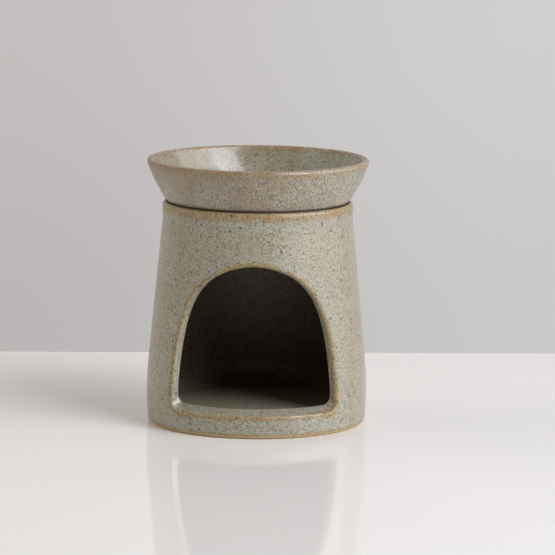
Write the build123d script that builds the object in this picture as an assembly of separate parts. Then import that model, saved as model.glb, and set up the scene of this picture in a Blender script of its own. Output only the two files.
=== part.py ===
from build123d import *
from math import acos, atan2, hypot, radians, sin, sqrt, tan
import os

# An essential oil burner made of two fired stoneware pieces: a stand with an arched opening,
# and a shallow oil dish that rests loose on the stand's flat rim.
# Millimetres. +Z is up, the origin is the middle of the foot and the arch faces -Y.

# Stand, outside
stand_height = 100.0          # table to the flat rim that carries the dish
stand_rim_radius = 42.9
rim_band_height = 8.0         # upright band below the rim
shoulder_curve_radius = 40.0  # bend from the band into the tapered wall
rim_rounding = 1.5            # outer edge of the rim
belly_radius = 49.7           # widest part, low down
belly_height = 13.8
belly_curve_radius = 157.0    # slow curve that carries the wall over the belly
foot_rounding = 2.4

# Stand, inside and underneath
stand_wall = 3.5
chamber_floor_height = 9.2
chamber_cove_radius = 9.0     # bend between the chamber's floor and its wall
inner_edge_rounding = 0.6     # mouth of the chamber and inner edge of the arch
foot_ring_width = 7.0
foot_recess_depth = 2.0
foot_recess_rounding = 1.0

# Arch through the front of the stand
arch_half_angle = 47.7        # degrees each way from -Y, at the sill
sill_rise = 1.0               # outer edge of the sill above the chamber's floor
sill_slope = 24.0             # degrees, down to the outside
sill_corner_radius = 3.4
arch_spring_rise = 7.8        # upright start of the sides above the chamber's floor
crown_margin = 23.8           # wall left between the crown and the rim
arch_edge_rounding = 1.4      # outer edge
arch_side_share = 0.81        # pull of the upright sides, as a share of the curve's height
arch_crown_share = 0.25       # pull of the crown, as a share of the arch's half width
arch_inner_plane_share = 0.55  # how far out the cut starts, as a share of the belly
cut_overrun = 10.0

# Oil dish
dish_rim_overhang = 0.8       # the lip's corner, before it is rounded, past the stand's belly
dish_rim_radius = belly_radius + dish_rim_overhang
dish_height = 19.4            # seat to lip
dish_curve_radius = 70.0      # swell of the flared side
dish_wall = 3.2
dish_floor = 4.5
dish_cove_radius = 7.0        # bend between the dish's floor and its side
dish_heel_rounding = 0.5
lip_rounding_share = 0.45     # of the wall, so that the lip is almost a half round

# Seat of the dish on the stand
shadow_gap_height = 0.8       # the heel stays this far above the rim
shadow_gap_depth = 0.6
ring_clearance = 1.1          # round the locating ring, inside the stand's mouth
ring_depth = 3.5              # below the seat
ring_width = 4.0
ring_recess_depth = 3.0       # hollow inside the ring
ring_rounding = 0.8


def arc_reach(centre, radius, height):
    """Distance from the axis of an arc's outer side, at a height."""
    return centre[0] + sqrt(radius**2 - (height - centre[1]) ** 2)


def arc_between(centre, radius, low, high):
    """Arc about a centre, between two heights."""
    middle = (low + high) / 2
    heights = (low, middle, high)
    return ThreePointArc(*[(arc_reach(centre, radius, height), height) for height in heights])


def arc_centre(low, high, radius):
    """Centre of an arc between two points that swells down and out."""
    chord = (high[0] - low[0], high[1] - low[1])
    length = hypot(*chord)
    middle = ((low[0] + high[0]) / 2, (low[1] + high[1]) / 2)
    reach = sqrt(radius**2 - (length / 2) ** 2)
    return (middle[0] - reach * chord[1] / length, middle[1] + reach * chord[0] / length)


def tangent_height(centre, radius, point):
    """Height at which a straight line from a point above meets an arc without a kink."""
    away = (point[0] - centre[0], point[1] - centre[1])
    turn = atan2(away[1], away[0]) - acos(radius / hypot(*away))
    return centre[1] + radius * sin(turn)


def round_corner(profile, point, radius):
    """Round one corner of a flat profile."""
    return fillet(profile.vertices().sort_by_distance(point)[0], radius)


def turn_on_axis(profile):
    """Solid of revolution of a profile drawn as distance from the axis and height."""
    return revolve(Plane.XZ * profile, Axis.Z)


def stand_profile():
    """Half section of the stand's outside, still solid."""
    belly_centre = (belly_radius - belly_curve_radius, belly_height)
    band_foot = (stand_rim_radius, stand_height - rim_band_height)
    taper_start = tangent_height(belly_centre, belly_curve_radius, band_foot)
    belly = arc_between(belly_centre, belly_curve_radius, 0, taper_start)
    foot_edge = belly @ 0
    recess_edge = (foot_edge.X - foot_rounding - foot_ring_width, 0)
    recess_corner = (recess_edge[0], foot_recess_depth)
    recess_middle = (0, foot_recess_depth)
    rim_edge = (stand_rim_radius, stand_height)
    outside = Polyline(belly @ 1, band_foot, rim_edge, (0, stand_height), recess_middle)
    underside = Polyline(recess_middle, recess_corner, recess_edge, foot_edge)
    profile = make_face([belly, outside, underside])
    profile = round_corner(profile, foot_edge, foot_rounding)
    profile = round_corner(profile, recess_corner, foot_recess_rounding)
    profile = round_corner(profile, band_foot, shoulder_curve_radius)
    return round_corner(profile, rim_edge, rim_rounding)


def chamber_profile():
    """Half section of the chamber, which tapers with the wall and runs out of the top."""
    floor_corner = (belly_radius - stand_wall, chamber_floor_height)
    mouth_radius = stand_rim_radius - stand_wall
    taper = (mouth_radius - floor_corner[0]) / (stand_height - chamber_floor_height)
    top = stand_height + cut_overrun
    top_edge = (mouth_radius + taper * cut_overrun, top)
    corners = [(0, chamber_floor_height), floor_corner, top_edge, (0, top)]
    profile = make_face(Polyline(*corners, close=True))
    return round_corner(profile, floor_corner, chamber_cove_radius)


def arch_outline(distance):
    """Arch on an upright plane at a distance from the axis, wider the further out it is."""
    bottom = -2 * cut_overrun
    spring = chamber_floor_height + arch_spring_rise
    crown = stand_height - crown_margin
    half_width = distance * tan(radians(arch_half_angle))
    side_pull = spring + arch_side_share * (crown - spring)
    crown_pull = arch_crown_share * half_width

    def flank(side):
        return Bezier(
            (side * half_width, spring),
            (side * half_width, side_pull),
            (side * crown_pull, crown),
            (0, crown),
        )

    below = Polyline(
        (-half_width, spring), (-half_width, bottom), (half_width, bottom), (half_width, spring)
    )
    return Plane.XZ.offset(distance) * make_face([below, flank(1), flank(-1)])


def sill_bank():
    """Cone of everything below the sill, which slopes down to the outside."""
    steepness = tan(radians(sill_slope))
    sill = chamber_floor_height + sill_rise
    reach = 2 * (belly_radius + cut_overrun)
    top = sill + steepness * belly_radius
    edge = sill + steepness * (belly_radius - reach)
    corners = [(0, edge - cut_overrun), (reach, edge - cut_overrun), (reach, edge), (0, top)]
    return turn_on_axis(make_face(Polyline(*corners, close=True)))


def arch_cut():
    """Solid that opens the arch, with sides that run straight out from the axis."""
    inner_plane = arch_inner_plane_share * belly_radius
    outer_plane = belly_radius + cut_overrun
    opening = loft([arch_outline(inner_plane), arch_outline(outer_plane)], ruled=True)
    bank = sill_bank()
    cut = opening - bank
    sill_edges = new_edges(opening, bank, combined=cut)
    sill_ends = sill_edges.sort_by(lambda edge: abs(edge.center().X))[-2:]
    return fillet(sill_ends, sill_corner_radius)


def make_stand():
    """Stand with its foot, softened arch and chamber."""
    body = turn_on_axis(stand_profile())
    arch = arch_cut()
    arched = body - arch
    arched = fillet(new_edges(body, arch, combined=arched), arch_edge_rounding)
    chamber = turn_on_axis(chamber_profile())
    hollow = arched - chamber
    return fillet(new_edges(arched, chamber, combined=hollow), inner_edge_rounding)


def dish_profile():
    """Half section of the oil dish, seated on the stand."""
    seat = stand_height
    lip = seat + dish_height
    heel = (stand_rim_radius - rim_rounding, seat + shadow_gap_height)
    seat_edge = heel[0] - shadow_gap_depth
    ring_radius = stand_rim_radius - stand_wall - ring_clearance
    ring_foot = seat - ring_depth
    ring_bore = ring_radius - ring_width
    underside = ring_foot + ring_recess_depth
    inner_floor = underside + dish_floor
    rim = (dish_rim_radius, lip)
    centre = arc_centre(heel, rim, dish_curve_radius)
    inner_radius = dish_curve_radius - dish_wall
    side = arc_between(centre, dish_curve_radius, heel[1], lip)
    bowl = arc_between(centre, inner_radius, inner_floor, lip)
    below = Polyline(
        (0, inner_floor),
        (0, underside),
        (ring_bore, underside),
        (ring_bore, ring_foot),
        (ring_radius, ring_foot),
        (ring_radius, seat),
        (seat_edge, seat),
        (seat_edge, heel[1]),
        heel,
    )
    profile = make_face([below, side, Line(rim, bowl @ 1), bowl, Line(bowl @ 0, (0, inner_floor))])
    profile = round_corner(profile, heel, dish_heel_rounding)
    profile = round_corner(profile, (ring_bore, underside), ring_rounding)
    profile = round_corner(profile, (ring_bore, ring_foot), ring_rounding)
    profile = round_corner(profile, (ring_radius, ring_foot), ring_rounding)
    profile = round_corner(profile, rim, lip_rounding_share * dish_wall)
    profile = round_corner(profile, bowl @ 1, lip_rounding_share * dish_wall)
    return round_corner(profile, bowl @ 0, dish_cove_radius)


def make_dish():
    """Oil dish with its seat and locating ring."""
    return turn_on_axis(dish_profile())


os.makedirs("parts", exist_ok=True)
export_step(make_stand(), "parts/stand.step")
export_step(make_dish(), "parts/oil_dish.step")
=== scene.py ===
import math
from dataclasses import dataclass

import bmesh
import bpy
import numpy as np
from mathutils import Matrix
from mathutils.geometry import delaunay_2d_cdt


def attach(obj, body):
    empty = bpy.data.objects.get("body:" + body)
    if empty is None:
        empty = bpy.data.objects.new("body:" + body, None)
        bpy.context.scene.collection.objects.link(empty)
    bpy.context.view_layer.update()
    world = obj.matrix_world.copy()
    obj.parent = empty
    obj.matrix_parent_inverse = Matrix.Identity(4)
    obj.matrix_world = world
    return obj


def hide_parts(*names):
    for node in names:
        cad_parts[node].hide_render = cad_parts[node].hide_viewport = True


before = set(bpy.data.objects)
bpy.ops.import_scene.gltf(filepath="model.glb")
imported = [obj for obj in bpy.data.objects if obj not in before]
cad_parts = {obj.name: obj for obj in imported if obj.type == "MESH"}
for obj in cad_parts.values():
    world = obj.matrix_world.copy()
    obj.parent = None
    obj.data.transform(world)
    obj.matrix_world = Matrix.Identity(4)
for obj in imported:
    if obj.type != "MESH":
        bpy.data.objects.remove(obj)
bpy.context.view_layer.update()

# Sizes of the stand in millimetres, as in the part's CAD source.
STAND_HEIGHT = 100.0
RIM_RADIUS = 42.9
RIM_BAND = 8.0
RIM_ROUNDING = 1.5
SHOULDER_CURVE = 40.0
BELLY_RADIUS = 49.7
BELLY_HEIGHT = 13.8
BELLY_CURVE = 157.0
FOOT_ROUNDING = 2.4
FOOT_RING = 7.0
FOOT_RECESS = 2.0
RECESS_ROUNDING = 1.0
WALL = 3.5
FLOOR_HEIGHT = 9.2
CHAMBER_COVE = 9.0
INNER_ROUNDING = 0.6

# Sizes of the arch.
SILL_HEIGHT = 10.2
SILL_STEEPNESS = math.tan(math.radians(24))
SILL_CORNER = 3.4
SPRING_HEIGHT = 17.0
CROWN_HEIGHT = 76.2
ARCH_ANGLE = math.radians(47.7)
ARCH_SIDE_SHARE = 0.81
ARCH_CROWN_SHARE = 0.25
ARCH_ROUNDING = 1.4

# Sizes of the oil dish.
DISH_RIM = 50.5
DISH_TOP = 119.4
DISH_CURVE = 70.0
DISH_WALL = 3.2
DISH_FLOOR = 104.0
DISH_COVE = 7.0
LIP_ROUNDING = 1.44
HEEL_RADIUS = 41.4
HEEL_HEIGHT = 100.8
HEEL_ROUNDING = 0.5
SEAT_EDGE = 40.8
RING_RADIUS = 38.3
RING_BORE = 34.3
RING_FOOT = 96.5
RING_ROUNDING = 0.8
DISH_UNDERSIDE = 99.5

# Slight roundings of edges that are sharp in the CAD source.
SOFT_EDGE = 0.3
REBATE_EDGE = 0.2

# Fineness of the skins.
MM = 0.001
COLUMNS = 288
ANGLES = np.linspace(-math.pi, math.pi, COLUMNS + 1)
SPACING = 1.0
DISH_SPACING = 0.8
ARCH_SPACING = 0.7
ARC_STEP = math.radians(13)
WALL_STEPS = 24
WALL_START = 3.4        # first point of the wall above the foot's rounding
FRONT_STEPS = 7         # across the arch's outer edge
BACK_STEPS = 5          # across its inner edge
REVEAL_STEPS = 8        # between the two
HOLE_RINGS = (0.4, 0.9, 1.6, 2.5)  # gaps of the rows of points beside the arch
HOLE_CLEARANCE = 3.2    # gap at which the even points of a wall start
TINY = 1e-6

# Borders between the patches of a skin, as heights or distances from the axis.
OUTER_LOW = 3.9
OUTER_HIGH = 97.5
INNER_HIGH = 98.0
CHAMBER_DISC = 31.0
SIDE_LOW = 102.2
SIDE_HIGH = 117.2
BOWL_LOW = 110.2
SIDE_STEPS = 12
BOWL_STEPS = 7
DISH_UNDER_DISC = 33.0
BOWL_DISC = 30.0

# Layout of the textures: the side of each square, and the patches' places and scales in it.
MARGIN = 5
STRIP_SCALE = 46
STAND_ATLAS = 345
CHAMBER_STRIP = 128
CHAMBER_SCALE = 43
ARCH_STRIP = 236
STAND_DISCS = 255
STAND_UNDER_SIZE = 42
CHAMBER_DISC_LEFT = 100
CHAMBER_DISC_SIZE = 32
DISH_ATLAS = 300
BOWL_STRIP = 42
DISH_UNDER_BOTTOM = 70
DISH_UNDER_SIZE = 38
BOWL_DISC_LEFT = 90
BOWL_DISC_BOTTOM = 82
BOWL_DISC_SIZE = 31

# Width of the tan bands where the glaze breaks on edges, and how far from them it still changes.
ARCH_TAN = 1.5
RIGHT_REVEAL_TAN = 0.5
REVEAL_TAN = -1.0
SILL_TAN = 0.2
RIM_TAN = 3.5
FOOT_TAN = 1.5
LIP_TAN = 3.6
LIP_TAN_INSIDE = 2.6
EDGE_REACH = 12.0


def round_place(distance, angle, height):
    """Points from cylindrical places; angle 0 faces -Y and grows towards +X."""
    distance, angle, height = np.broadcast_arrays(distance, angle, height)
    return np.stack([distance * np.sin(angle), -distance * np.cos(angle), height], -1)


def unit(vectors):
    """Directions of length one."""
    return vectors / np.linalg.norm(vectors, axis=-1, keepdims=True)


def slope(values, start, end):
    """0 at the start, 1 at the end and even between them."""
    return np.clip((values - start) / (end - start), 0, 1)


def rounded_path(corners):
    """Path through (distance, height, rounding) corners, with an arc at each rounded one."""
    places = [np.array(corner[:2], float) for corner in corners]
    path = [places[0]]
    for before, corner, after, spec in zip(places, places[1:], places[2:], corners[1:]):
        radius = spec[2]
        if radius == 0:
            path.append(corner)
            continue
        back = unit(before - corner)
        ahead = unit(after - corner)
        half = math.acos(np.clip(back @ ahead, -1, 1)) / 2
        centre = corner + unit(back + ahead) * radius / math.sin(half)
        first = corner + back * radius / math.tan(half) - centre
        last = corner + ahead * radius / math.tan(half) - centre
        turn = math.pi - 2 * half
        steps = max(math.ceil(turn / ARC_STEP), math.ceil(turn * radius / SPACING))
        for share in np.linspace(0, 1, steps + 1):
            arm = first * math.sin((1 - share) * turn) + last * math.sin(share * turn)
            path.append(centre + arm / math.sin(turn))
    path.append(places[-1])
    return np.array(path)


def filled(path, spacing):
    """The same path with points no further apart than the spacing."""
    dense = [path[0]]
    for start, end in zip(path, path[1:]):
        count = max(1, math.ceil(np.linalg.norm(end - start) / spacing))
        dense += [start + (end - start) * k / count for k in range(1, count + 1)]
    return np.array(dense)


def lengths(path):
    """Distance along a path at each of its points."""
    return np.concatenate([[0], np.cumsum(np.linalg.norm(np.diff(path, axis=0), axis=1))])


def arc_reach(centre, radius, height):
    """Distance from the axis of an arc's outer side, at a height."""
    return centre[0] + np.sqrt(radius**2 - (height - centre[1]) ** 2)


def distance_to(points, line):
    """Distance from each point to the nearest point of a line, a block of points at a time."""
    blocks = 60
    return np.concatenate([
        np.sqrt(((block[:, None] - line[None]) ** 2).sum(-1)).min(1)
        for block in np.array_split(points, blocks)
    ])


def inside_loop(points, loop):
    """Which flat points lie inside a closed loop."""
    x, y = points[:, :1], points[:, 1:]
    ax, ay = loop[:, 0], loop[:, 1]
    bx, by = np.roll(ax, -1), np.roll(ay, -1)
    crosses = (ay > y) != (by > y)
    rise = np.where(by == ay, 1, by - ay)
    return (crosses & (x < (bx - ax) * (y - ay) / rise + ax)).sum(1) % 2 == 1


def signed_area(loop):
    """Area of a closed flat loop, above zero where it runs against the clock."""
    ahead = np.roll(loop, -1, axis=0)
    return (loop[:, 0] * ahead[:, 1] - loop[:, 1] * ahead[:, 0]).sum() / 2


def loop_normals(loop):
    """Outward directions of a closed flat loop that runs against the clock."""
    along = np.roll(loop, -1, axis=0) - np.roll(loop, 1, axis=0)
    return unit(np.stack([along[:, 1], -along[:, 0]], -1))


def strip_chart(left, bottom, scale):
    """Texture places of a wall that is unrolled."""
    def chart(angle, along, distance):
        angle, along = np.broadcast_arrays(angle, along)
        return np.stack([left + (angle + math.pi) * scale, bottom + along], -1)
    return chart


def disc_chart(left, bottom, radius):
    """Texture places of a floor, seen from above."""
    def chart(angle, along, distance):
        x = left + radius + distance * np.sin(angle)
        return np.stack([x, bottom + radius - distance * np.cos(angle)], -1)
    return chart


class Skin:
    """A closed surface put together from patches that share their border points."""

    def __init__(self):
        self.points = np.zeros((0, 3))
        # Share of the chamber's painted shade at each point.
        self.inside = np.zeros(0)
        self.faces = []
        self.places = []

    def add(self, points, inside=0.0):
        """New points, as an array of their numbers in the same arrangement."""
        points = np.asarray(points, float)
        flat = points.reshape(-1, 3)
        first = len(self.points)
        self.points = np.vstack([self.points, flat])
        values = np.broadcast_to(inside, points.shape[:-1]).ravel()
        self.inside = np.concatenate([self.inside, values])
        return np.arange(first, first + len(flat)).reshape(points.shape[:-1])

    def ring(self, distance, height, inside=0.0):
        """A row of new points round the axis that ends on its first point."""
        row = self.add(round_place(distance, ANGLES[:-1], height), inside)
        return np.append(row, row[0])

    def grid(self, rows, places):
        """Four-sided faces between rows of point numbers, each with its texture place."""
        for low, high, low_at, high_at in zip(rows, rows[1:], places, places[1:]):
            for k in range(len(low) - 1):
                self.faces.append((low[k], low[k + 1], high[k + 1], high[k]))
                self.places += [low_at[k], low_at[k + 1], high_at[k + 1], high_at[k]]

    def turned(self, path, chart, start, inside=0.0):
        """A path turned round the axis, from a row of points that is already there to a new row."""
        along = lengths(path)
        rows = [start] + [self.ring(distance, height, inside) for distance, height in path[1:]]
        places = [chart(ANGLES, length, distance) for length, (distance, _) in zip(along, path)]
        self.grid(rows, places)
        return rows[-1]

    def capped(self, row, path, chart, inside=0.0):
        """A path turned from a row of points to the axis, where it closes on one point."""
        last = self.turned(path[:-1], chart, row, inside)
        middle = self.add(round_place(0.0, 0.0, path[-1][1]), inside)
        edge = chart(ANGLES, 0, path[-2][0])
        centre = chart(ANGLES, 0, 0.0)
        for k in range(COLUMNS):
            self.faces.append((last[k], last[k + 1], int(middle)))
            self.places += [edge[k], edge[k + 1], centre[k]]

    def holed(self, path, chart, start, hole, inside=0.0):
        """A path turned round the axis, from a row of points to a new row, with a hole in it.

        The hole is a row of point numbers. The wall is triangulated flat, unrolled at its mean radius.
        """
        along = lengths(path)
        scale = path[:, 0].mean()
        order = np.argsort(path[:, 1])
        border = self.points[hole]
        border_along = np.interp(border[:, 2], path[order, 1], along[order])
        loop = np.stack([np.arctan2(border[:, 0], -border[:, 1]) * scale, border_along], -1)
        if signed_area(loop) < 0:
            loop, hole = loop[::-1], hole[::-1]
        outward = loop_normals(loop)
        rings = [loop + outward * step for step in HOLE_RINGS]
        across = ANGLES * scale
        end = self.ring(*path[-1], inside)
        sides = self.add(round_place(path[1:-1, 0], math.pi, path[1:-1, 1]), inside)

        cells = np.stack(np.meshgrid(across[1:-1], along[1:-1], indexing="ij"), -1).reshape(-1, 2)
        cells = cells[(distance_to(cells, loop) > HOLE_CLEARANCE) & ~inside_loop(cells, loop)]
        free = np.vstack([*rings, cells])
        distance = np.interp(free[:, 1], along, path[:, 0])
        height = np.interp(free[:, 1], along, path[:, 1])
        free_ids = self.add(round_place(distance, free[:, 0] / scale, height), inside)

        side_low = np.stack([np.full(len(sides), across[0]), along[1:-1]], -1)
        side_high = np.stack([np.full(len(sides), across[-1]), along[1:-1]], -1)
        low = np.stack([across, np.full(COLUMNS + 1, along[0])], -1)
        high = np.stack([across, np.full(COLUMNS + 1, along[-1])], -1)
        flat = np.vstack([loop, low, high, side_low, side_high, free])
        ids = np.concatenate([hole, start, end, sides, sides, free_ids])
        edges = [(k, (k + 1) % len(loop)) for k in range(len(loop))]
        every_triangle = 0
        merge_gap = 1e-7
        made = delaunay_2d_cdt([tuple(p) for p in flat], edges, [], every_triangle, merge_gap, True)
        made_faces, made_from = made[2], made[3]
        source = [old[0] for old in made_from]
        triangles = np.array([[source[k] for k in face] for face in made_faces])
        middles = flat[triangles].mean(1)
        for face in triangles[~inside_loop(middles, loop)]:
            self.faces.append(tuple(ids[face]))
            for corner in flat[face]:
                self.places.append(chart(corner[0] / scale, corner[1], 0))
        return end

    def piece(self, name, atlas, marks):
        """The finished mesh object, with its marks and texture places."""
        mesh = bpy.data.meshes.new(name)
        faces = [tuple(int(k) for k in face) for face in self.faces]
        mesh.from_pydata((self.points * MM).tolist(), [], faces)
        layer = mesh.uv_layers.new(name="OFBake")
        places = np.array(self.places, float) / atlas
        layer.data.foreach_set("uv", places.astype(np.float32).ravel())
        for mark, values in marks.items():
            attribute = mesh.attributes.new(mark, "FLOAT", "POINT")
            attribute.data.foreach_set("value", np.asarray(values, np.float32))
        work = bmesh.new()
        work.from_mesh(mesh)
        bmesh.ops.recalc_face_normals(work, faces=work.faces)
        open_edges = sum(len(edge.link_faces) != 2 for edge in work.edges)
        work.to_mesh(mesh)
        work.free()
        if open_edges:
            raise RuntimeError(f"{name} has {open_edges} open edges")
        mesh.shade_smooth()
        piece = bpy.data.objects.new(name, mesh)
        bpy.context.scene.collection.objects.link(piece)
        return piece


# The stand


def stand_path():
    """Half section of the stand, from the middle of its underside to the middle of its floor."""
    belly = (BELLY_RADIUS - BELLY_CURVE, BELLY_HEIGHT)
    foot_edge = arc_reach(belly, BELLY_CURVE, 0.0)
    recess = foot_edge - FOOT_ROUNDING - FOOT_RING
    shoulder = np.array([RIM_RADIUS, STAND_HEIGHT - RIM_BAND])
    away = shoulder - belly
    turn = math.atan2(away[1], away[0]) - math.acos(BELLY_CURVE / np.hypot(*away))
    taper_start = belly[1] + BELLY_CURVE * math.sin(turn)
    heights = np.linspace(WALL_START, taper_start, WALL_STEPS)
    corners = [
        (0, FOOT_RECESS, 0),
        (recess, FOOT_RECESS, RECESS_ROUNDING),
        (recess, 0, SOFT_EDGE),
        (foot_edge, 0, FOOT_ROUNDING),
        *[(arc_reach(belly, BELLY_CURVE, height), height, 0) for height in heights],
        (*shoulder, SHOULDER_CURVE),
        (RIM_RADIUS, STAND_HEIGHT, RIM_ROUNDING),
        (RIM_RADIUS - WALL, STAND_HEIGHT, INNER_ROUNDING),
        (BELLY_RADIUS - WALL, FLOOR_HEIGHT, CHAMBER_COVE),
        (0, FLOOR_HEIGHT, 0),
    ]
    return filled(rounded_path(corners), SPACING), recess


def cubic(a, b, c, d, share):
    """Point on a cubic curve."""
    rest = 1 - share
    return rest**3 * a + 3 * rest**2 * share * b + 3 * rest * share**2 * c + share**3 * d


def arch_line():
    """Arch as angles and heights, evenly spaced, against the clock from the middle of the sill."""
    quarter = 0.5523  # pull that makes a cubic curve a quarter of a circle
    sill_points = 200
    curve_points = 400
    width = math.tan(ARCH_ANGLE)
    sill_half = math.tan(ARCH_ANGLE - SILL_CORNER / BELLY_RADIUS)
    corner_top = SILL_HEIGHT + SILL_CORNER
    share = np.linspace(0, 1, curve_points)
    corner_x = cubic(sill_half, sill_half + quarter * (width - sill_half), width, width, share)
    corner_z = cubic(SILL_HEIGHT, SILL_HEIGHT, corner_top - quarter * SILL_CORNER, corner_top, share)
    flank_x = cubic(width, width, ARCH_CROWN_SHARE * width, 0.0, share)
    side_pull = SPRING_HEIGHT + ARCH_SIDE_SHARE * (CROWN_HEIGHT - SPRING_HEIGHT)
    flank_z = cubic(SPRING_HEIGHT, side_pull, CROWN_HEIGHT, CROWN_HEIGHT, share)
    right_x = np.concatenate([np.linspace(0, sill_half, sill_points)[:-1], corner_x, flank_x[1:]])
    right_z = np.concatenate([np.full(sill_points - 1, SILL_HEIGHT), corner_z, flank_z[1:]])
    angle = np.arctan(np.concatenate([right_x, -right_x[-2::-1]]))
    height = np.concatenate([right_z, right_z[-2::-1]])
    along = lengths(np.stack([angle * BELLY_RADIUS, height], -1))
    count = int(along[-1] / ARCH_SPACING)
    even = np.linspace(0, along[-1], count + 1)[:-1]
    return np.interp(even, along, angle), np.interp(even, along, height), even


def profile_side(path, height):
    """Distance from the axis of a wall's path at heights, and how fast it grows with the height."""
    order = np.argsort(path[:, 1])
    z, r = path[order, 1], path[order, 0]
    step = 0.05
    growth = (np.interp(height + step, z, r) - np.interp(height - step, z, r)) / (2 * step)
    return np.interp(height, z, r), growth


def edge_arc(places, first, second, radius, steps):
    """Rows of points that round the edge between two faces with these outward normals."""
    dot = (first * second).sum(-1, keepdims=True)
    centre = places - radius * (first + second) / (1 + dot)
    turn = np.arccos(np.clip(dot, -1, 1))
    rows = []
    for share in np.linspace(0, 1, steps + 1):
        arm = first * np.sin((1 - share) * turn) + second * np.sin(share * turn)
        rows.append(centre + radius * arm / np.sin(turn))
    return rows


def arch_rows(angle, height, outer, inner):
    """Rows of points through the arch: its outer edge, the reveal between the walls, its inner edge."""
    outward = round_place(1.0, angle, 0.0)
    across = round_place(1.0, angle + math.pi / 2, 0.0)
    up = np.array([0.0, 0.0, 1.0])
    tilt = SILL_STEEPNESS * slope(height, start=SPRING_HEIGHT, end=SILL_HEIGHT + SILL_CORNER)

    def facing(radius, heights):
        """Directions into the opening, square to the arch's cut at a radius."""
        turn_step = (np.roll(angle, -1) - np.roll(angle, 1)) * radius
        rise = np.roll(heights, -1) - np.roll(heights, 1)
        return unit(-rise[:, None] * across + turn_step[:, None] * (up + tilt[:, None] * outward))

    out_radius, out_growth = profile_side(outer, height)
    out_normal = unit(outward - out_growth[:, None] * up)

    # The sloping sill meets the inner wall higher up. Each round brings that height nearer.
    rounds = 12
    in_height = height
    for _ in range(rounds):
        in_radius, in_growth = profile_side(inner, in_height)
        in_height = height + tilt * (out_radius - in_radius)
    in_normal = unit(in_growth[:, None] * up - outward)

    out_edge = round_place(out_radius, angle, height)
    in_edge = round_place(in_radius, angle, in_height)
    front = edge_arc(out_edge, out_normal, facing(out_radius, height), ARCH_ROUNDING, FRONT_STEPS)
    back = edge_arc(in_edge, facing(in_radius, in_height), in_normal, INNER_ROUNDING, BACK_STEPS)
    shares = np.linspace(0, 1, REVEAL_STEPS + 1)[1:-1]
    reveal = [front[-1] + (back[0] - front[-1]) * share for share in shares]
    return front, reveal, back


def stand_marks(skin, recess, crest, cut):
    """Values at the stand's points that steer its glaze and its painted shade. The crest is the middle of
    the arch's edge.
    """
    rim_crest = 0.44        # the middle of the rounded rim, in and down from its corner
    foot_line = 0.6         # the foot's edge as it is seen
    far_away = 10.0         # keeps the foot's tan out of the recess
    recess_inside = recess - 0.5
    recess_outside = recess + 1.0
    recess_top = FOOT_RECESS + 0.2
    right_reveal = 25.0     # x past which the arch's cut is its right reveal
    shade_drop_high_up = 0.28        # how much weaker the painted shade is high up in the chamber
    gap_shade_half_width = 0.8
    rim_face = STAND_HEIGHT - 0.02

    x, y, z = skin.points.T
    radius = np.hypot(x, y)
    in_cut = np.zeros(len(z))
    in_cut[cut] = 1
    arch_tan = ARCH_TAN + in_cut * np.where(x > right_reveal, RIGHT_REVEAL_TAN, REVEAL_TAN)
    arch_tan = arch_tan + SILL_TAN * slope(z, start=14.0, end=11.0)
    arch_gap = distance_to(skin.points, crest)
    rim_gap = np.hypot(radius - (RIM_RADIUS - rim_crest), z - (STAND_HEIGHT - rim_crest))
    foot_gap = np.maximum(z - foot_line, 0) + far_away * (radius < recess_inside)
    edge = np.minimum.reduce([arch_gap - arch_tan, rim_gap - RIM_TAN, foot_gap - FOOT_TAN])
    underneath = (z < recess_top) * (radius < recess_outside)
    bare = slope(z, start=1.6, end=1.0) + underneath

    # Painted shade in the chamber: strongest low on its wall, weaker high up, and it leaves the floor's
    # front clear.
    far_in = slope(y, start=5.0, end=35.0)
    low_down = slope(z, start=13.6, end=9.4)
    high_up = slope(z, start=25.0, end=62.0)
    inside = skin.inside * (1 - shade_drop_high_up * high_up) * (1 - low_down * (1 - far_in))
    # Painted shade on the rim's top, where the gap under the dish's heel shows it.
    gap_shade = (z > rim_face) * (np.abs(radius - SEAT_EDGE) < gap_shade_half_width)
    return {
        "edge": np.clip(edge, -EDGE_REACH, EDGE_REACH),
        "bare": np.clip(bare, 0, 1),
        "inside": inside,
        "pool": np.zeros(len(z)),
        "gap_shade": gap_shade * 1.0,
    }


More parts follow.
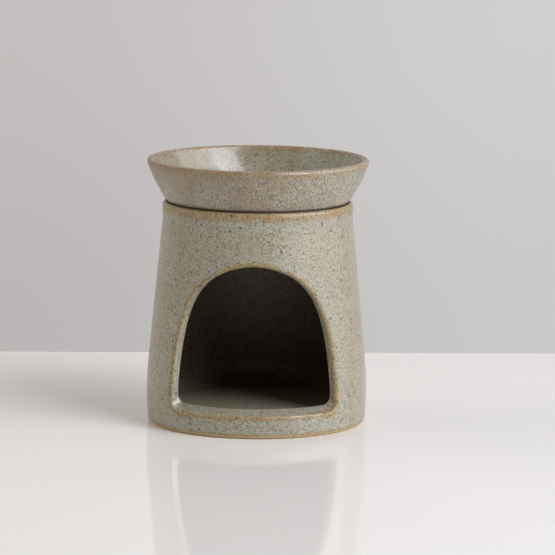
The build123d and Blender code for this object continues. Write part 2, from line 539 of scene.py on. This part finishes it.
def make_stand():
    """Stand: foot, wall, rim, chamber and arch as one skin."""
    path, recess = stand_path()
    distance, height = path.T

    # Points of the path at which one patch ends and the next begins.
    on_rim = (height > STAND_HEIGHT - TINY) & (distance > RIM_RADIUS - WALL)
    rim_top = int(np.argmax(on_rim))
    past_rim = np.arange(len(path)) >= rim_top
    recess_wall = recess - 0.05
    under = int(np.argmax(distance > recess_wall))
    low = int(np.argmax(height > OUTER_LOW))
    high = int(np.argmax(height > OUTER_HIGH))
    below = int(np.argmax(past_rim & (height < INNER_HIGH)))
    on_floor = (height < FLOOR_HEIGHT + TINY) & (distance < CHAMBER_DISC)
    floor = int(np.argmax(past_rim & on_floor))

    foot = path[under:low + 1]
    outer = path[low:high + 1]
    rim = path[high:below + 1]
    inner = path[below:floor + 1]

    skin = Skin()
    under_chart = disc_chart(MARGIN, STAND_DISCS, STAND_UNDER_SIZE)
    row = skin.ring(*path[1])
    skin.capped(row, path[1::-1], under_chart)
    row = skin.turned(path[1:under + 1], under_chart, row)
    row = skin.turned(foot, strip_chart(MARGIN, MARGIN, STRIP_SCALE), row)

    angle, arch_height, run = arch_line()
    front, reveal, back = arch_rows(angle, arch_height, outer, inner)
    # Across the arch's inner edge the chamber's painted shade ramps from none to full.
    shades = [0.0] * (len(front) + len(reveal)) + list(np.linspace(0, 1, len(back)))
    arch = [skin.add(line, shade) for line, shade in zip(front + reveal + back, shades)]
    across = MARGIN + np.append(run, run[-1] + ARCH_SPACING)
    depths = ARCH_STRIP + ARCH_SPACING * np.arange(len(arch))
    places = [np.stack([across, np.full(len(across), depth)], -1) for depth in depths]
    skin.grid([np.append(ids, ids[0]) for ids in arch], places)

    outer_bottom = MARGIN + lengths(foot)[-1]
    row = skin.holed(outer, strip_chart(MARGIN, outer_bottom, STRIP_SCALE), row, arch[0])
    rim_bottom = outer_bottom + lengths(outer)[-1]
    row = skin.turned(rim, strip_chart(MARGIN, rim_bottom, STRIP_SCALE), row)
    # The chamber's wall and floor take full painted shade.
    row = skin.holed(inner, strip_chart(MARGIN, CHAMBER_STRIP, CHAMBER_SCALE), row, arch[-1], 1.0)
    floor_chart = disc_chart(CHAMBER_DISC_LEFT, STAND_DISCS, CHAMBER_DISC_SIZE)
    skin.capped(row, path[floor:], floor_chart, 1.0)

    edge_middle = FRONT_STEPS // 2
    cut = np.concatenate(arch[edge_middle + 1:])
    marks = stand_marks(skin, recess, front[edge_middle], cut)
    return skin.piece("stand_skin", STAND_ATLAS, marks)


# The oil dish


def dish_path():
    """Half section of the dish, from the middle of its underside to the middle of its bowl."""
    heel = np.array([HEEL_RADIUS, HEEL_HEIGHT])
    rim = np.array([DISH_RIM, DISH_TOP])
    chord = rim - heel
    length = np.hypot(*chord)
    reach = math.sqrt(DISH_CURVE**2 - (length / 2) ** 2)
    middle = (heel + rim) / 2
    centre = (middle[0] - reach * chord[1] / length, middle[1] + reach * chord[0] / length)
    hollow = DISH_CURVE - DISH_WALL
    side = np.linspace(SIDE_LOW, SIDE_HIGH, SIDE_STEPS)
    bowl = np.linspace(SIDE_HIGH, BOWL_LOW, BOWL_STEPS)
    corners = [
        (0, DISH_UNDERSIDE, 0),
        (RING_BORE, DISH_UNDERSIDE, RING_ROUNDING),
        (RING_BORE, RING_FOOT, RING_ROUNDING),
        (RING_RADIUS, RING_FOOT, RING_ROUNDING),
        (RING_RADIUS, STAND_HEIGHT, SOFT_EDGE),
        (SEAT_EDGE, STAND_HEIGHT, REBATE_EDGE),
        (SEAT_EDGE, HEEL_HEIGHT, REBATE_EDGE),
        (*heel, HEEL_ROUNDING),
        *[(arc_reach(centre, DISH_CURVE, height), height, 0) for height in side],
        (*rim, LIP_ROUNDING),
        (arc_reach(centre, hollow, DISH_TOP), DISH_TOP, LIP_ROUNDING),
        *[(arc_reach(centre, hollow, height), height, 0) for height in bowl],
        (arc_reach(centre, hollow, DISH_FLOOR), DISH_FLOOR, DISH_COVE),
        (0, DISH_FLOOR, 0),
    ]
    return filled(rounded_path(corners), DISH_SPACING)


def dish_marks(skin, lip_radius, first_inside):
    """Values at the dish's points that steer its glaze and the painted shade in its gap."""
    bare_below = 100.3
    pool_depth = 3.0   # below the lip, where the bowl's thick glaze reaches its full strength
    gap_shade_height = 100.4
    gap_shade_half_height = 0.45
    gap_shade_radius = 40.4
    gap_shade_half_width = 0.7

    x, y, z = skin.points.T
    radius = np.hypot(x, y)
    lip_gap = np.hypot(radius - lip_radius, z - DISH_TOP)
    edge = lip_gap - np.where(radius > lip_radius, LIP_TAN, LIP_TAN_INSIDE)
    in_bowl = np.arange(len(z)) >= first_inside
    # The rebate under the heel takes painted shade, for the gap between dish and stand.
    in_rebate = np.abs(z - gap_shade_height) < gap_shade_half_height
    return {
        "edge": np.clip(edge, -EDGE_REACH, EDGE_REACH),
        "bare": (z < bare_below) * 1.0,
        "inside": np.zeros(len(z)),
        "pool": in_bowl * slope(z, start=DISH_TOP, end=DISH_TOP - pool_depth),
        "gap_shade": in_rebate * (np.abs(radius - gap_shade_radius) < gap_shade_half_width) * 1.0,
    }


def make_dish():
    """Oil dish: ring, seat, flared side, lip and bowl as one skin."""
    path = dish_path()
    lip = int(np.argmax(path[:, 1]))
    seat = int(np.argmax(path[:, 0] > DISH_UNDER_DISC))
    floor = lip + int(np.argmax(path[lip:, 0] < BOWL_DISC))

    skin = Skin()
    under_chart = disc_chart(MARGIN, DISH_UNDER_BOTTOM, DISH_UNDER_SIZE)
    row = skin.ring(*path[1])
    skin.capped(row, path[1::-1], under_chart)
    row = skin.turned(path[1:seat + 1], under_chart, row)
    row = skin.turned(path[seat:lip + 1], strip_chart(MARGIN, MARGIN, STRIP_SCALE), row)
    first_inside = len(skin.points)
    row = skin.turned(path[lip:floor + 1], strip_chart(MARGIN, BOWL_STRIP, STRIP_SCALE), row)
    skin.capped(row, path[floor:], disc_chart(BOWL_DISC_LEFT, BOWL_DISC_BOTTOM, BOWL_DISC_SIZE))
    return skin.piece("dish_skin", DISH_ATLAS, dish_marks(skin, path[lip, 0], first_inside))


# Materials


class Shader:
    """Short ways to add nodes to a material or world."""

    def __init__(self, owner):
        owner.use_nodes = True
        self.tree = owner.node_tree
        self.tree.nodes.clear()

    def feed(self, socket, value):
        """Links another node's output to a socket, or sets a constant on the socket itself."""
        if isinstance(value, bpy.types.NodeSocket):
            self.tree.links.new(value, socket)
        else:
            socket.default_value = value

    def node(self, kind, inputs=None, **settings):
        """A new node with these settings, and inputs by name or number."""
        made = self.tree.nodes.new(kind)
        for name, value in settings.items():
            setattr(made, name, value)
        for name, value in (inputs or {}).items():
            self.feed(made.inputs[name], value)
        return made

    def math(self, operation, first, second=0.0, third=0.0):
        """One sum with numbers."""
        made = self.node("ShaderNodeMath", {0: first, 1: second, 2: third}, operation=operation)
        return made.outputs[0]

    def vector(self, operation, first, second, third=(0, 0, 0)):
        """One sum with vectors."""
        made = self.node("ShaderNodeVectorMath", {0: first, 1: second, 2: third}, operation=operation)
        return made.outputs[0]

    def blend(self, share, first, second, how="MIX"):
        """The first colour, changed by a share of the second."""
        made = self.node("ShaderNodeMix", data_type="RGBA", blend_type=how)
        for index, value in ((0, share), (6, first), (7, second)):
            self.feed(made.inputs[index], value)
        return made.outputs[2]

    def ramp(self, value, low, high, start=0.0, end=1.0):
        """A smooth step from the start at the low value to the end at the high one."""
        inputs = {0: value, 1: low, 2: high, 3: start, 4: end}
        return self.node("ShaderNodeMapRange", inputs, interpolation_type="SMOOTHSTEP").outputs[0]

    def noise(self, where, size, detail, rough):
        """Soft random values whose features have about this size."""
        inputs = {"Vector": where, "Scale": 1 / size, "Detail": detail, "Roughness": rough}
        return self.node("ShaderNodeTexNoise", inputs).outputs["Fac"]

    def mark(self, name):
        """A value stored at the mesh's points."""
        return self.node("ShaderNodeAttribute", attribute_name=name).outputs["Fac"]


def colour(red, green, blue):
    """Shader colour from screen values out of 255."""
    def linear(value):
        value /= 255
        return value / 12.92 if value <= 0.04045 else ((value + 0.055) / 1.055) ** 2.4
    return (linear(red), linear(green), linear(blue), 1.0)


@dataclass
class Look:
    """What tells one piece's glaze from the other's."""

    cool: tuple      # the greyer of its two tones
    warm: tuple      # the browner one
    lean: float      # how much warmer it gets towards an edge, per millimetre
    turn: float      # how much cooler and paler it gets towards the right, a painted sheen
    mist: float      # strength of the bluish halo beside the tan
    squeeze: float   # above 1 the grains and specks are flatter, below 1 taller
    contrast: float  # strength of the grain
    coarse: float    # size of the grain
    fade: float      # half width of the tan's border, in millimetres
    breaking: float  # strength of the tan
    shine: float     # refractive index, for the strength of the reflections


STAND_LOOK = Look(
    cool=colour(155, 149, 129),
    warm=colour(155, 143, 120),
    lean=0.0,
    turn=0.0,
    mist=0.85,
    squeeze=0.78,
    contrast=1.1,
    coarse=1.0,
    fade=1.0,
    breaking=1.15,
    shine=1.68,
)
DISH_LOOK = Look(
    cool=colour(164, 155, 134),
    warm=colour(150, 131, 102),
    lean=0.018,
    turn=1.0,
    mist=0.15,
    squeeze=1.25,
    contrast=1.95,
    coarse=1.5,
    fade=1.8,
    breaking=0.75,
    shine=1.84,
)
DARK_GRAIN = colour(104, 95, 78)
PALE_GRAIN = colour(193, 184, 167)
RUST = colour(72, 61, 44)
IRON = colour(58, 47, 34)
PALE_CLAY = colour(196, 171, 126)
DARK_CLAY = colour(176, 150, 106)
# Painted shade for the gap between the stand's rim and the dish.
GAP_SHADE_COLOUR = colour(34, 28, 22)

# Colours that the glaze is multiplied by.
POOL_TINT = (0.945, 1.045, 1.12, 1.0)
HALO_TINT = (0.97, 1.03, 1.10, 1.0)
TAN_TINT = (0.96, 0.745, 0.46, 1.0)
# Painted shade that darkens the inside of the chamber.
CHAMBER_SHADE_TINT = (0.26, 0.225, 0.19, 1.0)


def glaze_tone(s, look, where, edge):
    """Colour that drifts between the two tones, with a painted sheen that makes it cooler and paler
    towards the right.
    """
    drift = s.noise(where, size=9.0, detail=4.0, rough=0.62)
    middle_gap = 6.0
    tone = s.math("MULTIPLY_ADD", s.math("SUBTRACT", middle_gap, edge), look.lean, drift)
    # Painted sheen: warmer on the left, cooler and paler on the right where the lamps shine from, scaled
    # by look.turn.
    across = s.node("ShaderNodeSeparateXYZ", {0: where}).outputs[0]
    right_sheen = s.ramp(across, low=5.0, high=45.0, start=0.14 * look.turn, end=-0.30 * look.turn)
    tone = s.math("ADD", tone, right_sheen)
    return s.blend(s.ramp(tone, low=0.36, high=0.66), look.cool, look.warm)


def glaze_grain(s, look, body, squeezed, grain, pool):
    """Fine dark and pale grain, calmer in the bowl."""
    calm = 0.4
    strength = s.math("MULTIPLY_ADD", pool, -calm * look.contrast, look.contrast)
    dark = s.math("MULTIPLY", strength, s.ramp(grain, low=0.40, high=0.66, end=0.62))
    body = s.blend(dark, body, DARK_GRAIN)
    pale = s.noise(squeezed, size=0.70, detail=1.0, rough=0.5)
    light = s.math("MULTIPLY", strength, s.ramp(pale, low=0.52, high=0.68, end=0.4 / look.coarse**2))
    return s.blend(light, body, PALE_GRAIN)


def specks(s, squeezed, cell, share, size, soft, seed):
    """Spots of random size in a share of the cells of a random pattern, in millimetres."""
    bend = 0.4
    bend_size = 2.2
    moved = s.vector("ADD", squeezed, (seed, 3 * seed, 7 * seed))
    warp = s.node("ShaderNodeTexNoise", {"Vector": moved, "Scale": bend_size / cell}).outputs["Color"]
    bent = s.vector("MULTIPLY_ADD", warp, (bend * cell,) * 3, moved)
    cells = s.node("ShaderNodeTexVoronoi", {"Vector": bent, "Scale": 1 / cell}).outputs
    pick = s.node("ShaderNodeSeparateColor", {0: cells["Color"]}).outputs[0]
    radius = s.ramp(pick, low=1 - share, high=1.0, end=size / cell)
    near = s.math("SUBTRACT", radius, cells["Distance"])
    return s.ramp(near, low=-soft / cell, high=soft / cell)


def glaze_edges(s, look, body, where, edge):
    """Tan where the glaze breaks on edges, with a bluish halo beside it. Gives the tan's share too."""
    wander = 4.2
    wobble = s.noise(where, size=2.2, detail=4.0, rough=0.7)
    gap = s.math("ADD", edge, s.math("MULTIPLY_ADD", wobble, wander, -wander / 2))
    halo = s.math("MULTIPLY", s.ramp(gap, low=7.0, high=1.5), look.mist)
    body = s.blend(halo, body, HALO_TINT, "MULTIPLY")
    patches = s.noise(where, size=8.0, detail=3.0, rough=0.6)
    strength = s.ramp(patches, low=0.32, high=0.62, start=0.45 * look.breaking, end=look.breaking)
    tan = s.math("MULTIPLY", strength, s.ramp(gap, low=look.fade, high=-look.fade))
    return s.blend(tan, body, TAN_TINT, "MULTIPLY"), tan


def glaze_roughness(s, where, changes):
    """Uneven satin roughness, changed by an amount for each mark."""
    spread = 0.16
    least = 0.22
    clouds = s.noise(where, size=3.0, detail=3.0, rough=0.6)
    rough = s.math("MULTIPLY_ADD", clouds, spread, least)
    for mark, amount in changes:
        rough = s.math("MULTIPLY_ADD", mark, amount, rough)
    return rough


def glaze_bump(s, where, grain, speck):
    """Slight waves and grain of the surface, with shallow pits at the specks."""
    wave_height = 0.6
    grain_height = 0.25
    pit_depth = 0.12
    waves = s.noise(where, size=1.1, detail=2.0, rough=0.5)
    lift = s.math("MULTIPLY_ADD", waves, wave_height, s.math("MULTIPLY", grain, grain_height))
    lift = s.math("MULTIPLY_ADD", speck, -pit_depth, lift)
    bump = s.node("ShaderNodeBump", {"Height": lift, "Strength": 0.35, "Distance": 0.12 * MM})
    return bump.outputs[0]


def glaze_material(name, look):
    """Satin speckled stoneware glaze that drifts between two tones and breaks to tan on edges, with
    painted shade in the chamber and the dish's gap and a painted sheen on the dish's right side.
    """
    material = bpy.data.materials.new(name)
    s = Shader(material)
    metres = s.node("ShaderNodeTexCoord").outputs["Object"]
    where = s.vector("MULTIPLY", metres, (1 / MM,) * 3)
    squeezed = s.vector("MULTIPLY", where, (1, 1, look.squeeze))
    edge = s.mark("edge")
    bare = s.mark("bare")
    inside = s.mark("inside")
    # The inside mark carries the chamber's painted shade.
    pool = s.mark("pool")
    # The next mark carries the painted shade in the gap under the dish.
    gap_shade = s.mark("gap_shade")

    grain = s.noise(squeezed, size=0.55 * look.coarse, detail=2.0, rough=0.6)
    body = glaze_tone(s, look, where, edge)
    body = glaze_grain(s, look, body, squeezed, grain, pool)

    crowd = s.ramp(s.noise(where, size=5.0, detail=3.0, rough=0.6), low=0.35, high=0.65, start=0.45)
    fine = specks(s, squeezed, cell=0.9, share=0.95, size=0.40, soft=0.09, seed=1.7)
    middling = specks(s, squeezed, cell=1.9, share=0.6, size=0.46, soft=0.11, seed=4.3)
    big = specks(s, squeezed, cell=4.4, share=0.55, size=0.60, soft=0.14, seed=9.1)
    fine_strength = 0.84
    middling_strength = 0.82
    big_strength = 0.85
    body = s.blend(s.math("MULTIPLY", fine, s.math("MULTIPLY", crowd, fine_strength)), body, RUST)
    body = s.blend(s.math("MULTIPLY", middling, middling_strength), body, IRON)
    body = s.blend(s.math("MULTIPLY", big, big_strength), body, IRON)

    body = s.blend(pool, body, POOL_TINT, "MULTIPLY")
    body, tan = glaze_edges(s, look, body, where, edge)
    clay = s.blend(s.ramp(grain, low=0.3, high=0.7), PALE_CLAY, DARK_CLAY)
    body = s.blend(bare, body, clay)
    # Painted shade darkens the chamber's inside.
    body = s.blend(inside, body, CHAMBER_SHADE_TINT, "MULTIPLY")
    # Painted shade darkens the gap between the stand's rim and the dish.
    gap_shade_strength = 0.92
    body = s.blend(s.math("MULTIPLY", gap_shade, gap_shade_strength), body, GAP_SHADE_COLOUR)

    rough = glaze_roughness(s, where, ((pool, -0.12), (tan, 0.10), (bare, 0.4), (inside, 0.25)))
    pool_shine = 1.59
    tan_dulling = 0.12
    dark_dulling = 0.35
    index = s.math("MULTIPLY_ADD", pool, pool_shine - look.shine, look.shine)
    index = s.math("MULTIPLY_ADD", tan, -tan_dulling, index)
    index = s.math("MULTIPLY_ADD", s.math("MAXIMUM", inside, gap_shade), -dark_dulling, index)
    normal = glaze_bump(s, where, grain, middling)
    inputs = {"Base Color": body, "Roughness": rough, "IOR": index, "Normal": normal}
    surface = s.node("ShaderNodeBsdfPrincipled", inputs)
    s.node("ShaderNodeOutputMaterial", {"Surface": surface.outputs[0]})
    return material


def table_material():
    """Even polished white."""
    material = bpy.data.materials.new("table_white")
    s = Shader(material)
    inputs = {"Base Color": colour(245, 242, 240), "Roughness": 0.04, "IOR": 1.4}
    surface = s.node("ShaderNodeBsdfPrincipled", inputs)
    s.node("ShaderNodeOutputMaterial", {"Surface": surface.outputs[0]})
    return material


# The stage, in metres

TABLE_WIDTH = 1.8
TABLE_NEAR = -1.0
TABLE_FAR = 0.177
TABLE_THICKNESS = 0.03
TABLE_EDGE = 0.001
TABLE_TURN = math.radians(3.5)

CAMERA_DISTANCE = 1.8
CAMERA_HEIGHT = 0.3436
CAMERA_TURN = math.radians(2.1)
CAMERA_YAW = math.radians(0.29)
CAMERA_PITCH = math.radians(8.796)
CAMERA_ROLL = math.radians(0.5)
CAMERA_SENSOR = 36.0
CAMERA_LENS = 261.5

# Tints of the lamps: daylight from the right, room light from the rest.
COOL = (0.98, 1.0, 1.05)
WARM = (1.05, 1.0, 0.90)
LAMP_AIM = (0, 0, 0.06)


def make_table():
    """Pale table whose back edge is the photo's horizon."""
    work = bmesh.new()
    bmesh.ops.create_cube(work, size=1.0)
    size = (TABLE_WIDTH, TABLE_FAR - TABLE_NEAR, TABLE_THICKNESS)
    middle = (0, (TABLE_NEAR + TABLE_FAR) / 2, -TABLE_THICKNESS / 2)
    bmesh.ops.scale(work, vec=size, verts=work.verts)
    bmesh.ops.translate(work, vec=middle, verts=work.verts)
    bmesh.ops.bevel(work, geom=work.edges[:], offset=TABLE_EDGE, segments=3, affect="EDGES", profile=0.5)
    bmesh.ops.rotate(work, matrix=Matrix.Rotation(TABLE_TURN, 3, "Z"), verts=work.verts)
    mesh = bpy.data.meshes.new("table")
    work.to_mesh(mesh)
    work.free()
    table = bpy.data.objects.new("table", mesh)
    bpy.context.scene.collection.objects.link(table)
    mesh.materials.append(table_material())


def make_world():
    """Weak even light, with the backdrop's pale grey where it is seen or mirrored."""
    world = bpy.data.worlds.new("studio")
    bpy.context.scene.world = world
    s = Shader(world)
    path = s.node("ShaderNodeLightPath").outputs
    mirrored = s.math("MAXIMUM", path["Is Glossy Ray"], path["Is Transmission Ray"])
    seen = s.math("MAXIMUM", path["Is Camera Ray"], mirrored)
    way = s.node("ShaderNodeSeparateXYZ", {0: s.node("ShaderNodeTexCoord").outputs["Generated"]})
    across = s.ramp(way.outputs[0], low=-0.105, high=0.035)
    rise = s.ramp(way.outputs[2], low=-0.171, high=-0.085)
    bottom = s.blend(across, colour(186, 182, 181), colour(202, 199, 200))
    top = s.blend(across, colour(195, 191, 190), colour(209, 206, 207))
    backdrop = s.blend(rise, bottom, top)
    shown = s.node("ShaderNodeBackground", {"Color": backdrop, "Strength": 1.0})
    light = s.node("ShaderNodeBackground", {"Color": (1, 0.985, 0.96, 1), "Strength": 0.06})
    mixed = s.node("ShaderNodeMixShader", {0: seen, 1: light.outputs[0], 2: shown.outputs[0]})
    s.node("ShaderNodeOutputWorld", {"Surface": mixed.outputs[0]})


def put_in_place(thing, place, right, up, back):
    """Stands a camera or lamp at a place, looking away from its back."""
    matrix = Matrix.Identity(4)
    for row in range(3):
        matrix[row] = (right[row], up[row], back[row], place[row])
    thing.matrix_world = matrix
    bpy.context.scene.collection.objects.link(thing)


def make_lamp(name, azimuth, elevation, distance, width, height, power, tint, mirrored=True):
    """Soft panel that looks at the object. Azimuth 0 is the arch's side and grows to the right."""
    data = bpy.data.lights.new(name, "AREA")
    data.shape = "RECTANGLE"
    data.size = width
    data.size_y = height
    data.energy = power
    data.color = tint
    lamp = bpy.data.objects.new(name, data)
    lamp.visible_glossy = mirrored
    turn = math.radians(azimuth)
    lift = math.radians(elevation)
    level = math.cos(lift)
    back = np.array([math.sin(turn) * level, -math.cos(turn) * level, math.sin(lift)])
    right = np.array([math.cos(turn), math.sin(turn), 0.0])
    put_in_place(lamp, back * distance + LAMP_AIM, right, np.cross(back, right), back)


def turned_pair(first, second, angle):
    """Two directions square to each other, turned in their plane from the first to the second."""
    new_first = first * math.cos(angle) + second * math.sin(angle)
    new_second = second * math.cos(angle) - first * math.sin(angle)
    return new_first, new_second


def make_camera():
    """Camera fitted to the photo's ellipses."""
    data = bpy.data.cameras.new("photo_camera")
    data.sensor_width = CAMERA_SENSOR
    data.lens = CAMERA_LENS
    camera = bpy.data.objects.new("photo_camera", data)
    ahead = np.array([-math.sin(CAMERA_TURN), math.cos(CAMERA_TURN), 0.0])
    right = np.array([math.cos(CAMERA_TURN), math.sin(CAMERA_TURN), 0.0])
    up = np.array([0.0, 0.0, 1.0])
    place = -ahead * CAMERA_DISTANCE + up * CAMERA_HEIGHT
    ahead, right = turned_pair(ahead, right, CAMERA_YAW)
    up, ahead = turned_pair(up, ahead, CAMERA_PITCH)
    right, up = turned_pair(right, up, CAMERA_ROLL)
    put_in_place(camera, place, right, up, -ahead)
    bpy.context.scene.camera = camera


stand = make_stand()
stand.data.materials.append(glaze_material("stand_stoneware", STAND_LOOK))
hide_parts("stand")
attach(stand, "stand")

dish = make_dish()
dish.data.materials.append(glaze_material("dish_stoneware", DISH_LOOK))
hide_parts("oil_dish")
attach(dish, "dish")

make_table()
make_world()
make_lamp("window", azimuth=47, elevation=32, distance=2.0, width=0.9, height=1.8, power=33.5, tint=COOL)
make_lamp("side", azimuth=71, elevation=25, distance=2.0, width=0.75, height=1.55, power=13.0, tint=COOL)
make_lamp("far_side", azimuth=96, elevation=20, distance=2.0, width=1.0, height=1.3, power=10.5, tint=COOL)
make_lamp("left", azimuth=-98, elevation=24, distance=2.0, width=2.4, height=1.0, power=22.5, tint=WARM,
          mirrored=False)
make_lamp("front", azimuth=-48, elevation=26, distance=2.0, width=1.8, height=1.2, power=2.0, tint=WARM)
make_lamp("back", azimuth=170, elevation=48, distance=2.2, width=2.0, height=1.0, power=6.0, tint=WARM)
make_camera()
bpy.context.scene.view_settings.view_transform = "Standard"
